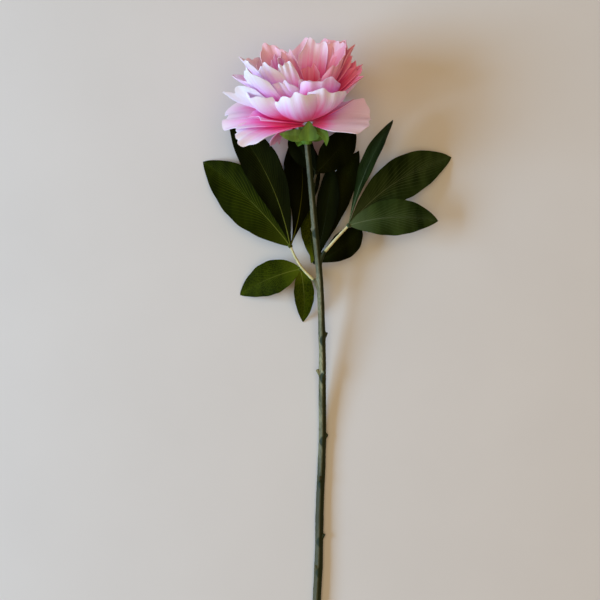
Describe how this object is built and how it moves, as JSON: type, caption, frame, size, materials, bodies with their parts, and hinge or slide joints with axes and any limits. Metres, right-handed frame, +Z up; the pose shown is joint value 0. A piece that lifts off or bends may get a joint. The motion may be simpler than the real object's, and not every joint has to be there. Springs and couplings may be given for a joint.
{
  "type": "peony stem",
  "caption": "Double peony in full bloom on a long leafy cut stem, lying on its side on a flat surface.",
  "frame": {"origin": "on the surface that the stem lies on, under the middle of the whole part", "axes": "+Z up from the surface, +Y along the stem from its cut end to the bloom, +X to the right seen from above with the bloom at the top"},
  "size_m": [0.2242, 0.5632, 0.1101],
  "materials": {
    "petals": "soft matt, pale lilac-pink rims and deep pink roots",
    "leaves": "dark green, slightly glossy, with fine paler veins",
    "calyx": "matt bright green",
    "stem": "satin grey-green, browner towards the cut end",
    "leaf_stalks": "pale yellow-green, satin"
  },
  "bodies": {
    "root": {"bloom": "petals", "calyx": "calyx", "stem": "stem", "leaf_left": "leaves", "leaf_low": "leaves", "leaf_right": "leaves", "leaf_back": "leaves", "leaf_upper": "leaves", "leaf_stalk_left": "leaf_stalks", "leaf_stalk_right": "leaf_stalks", "leaf_stalk_back": "leaf_stalks", "leaf_stalk_upper": "leaf_stalks"}
  },
  "joints": []
}
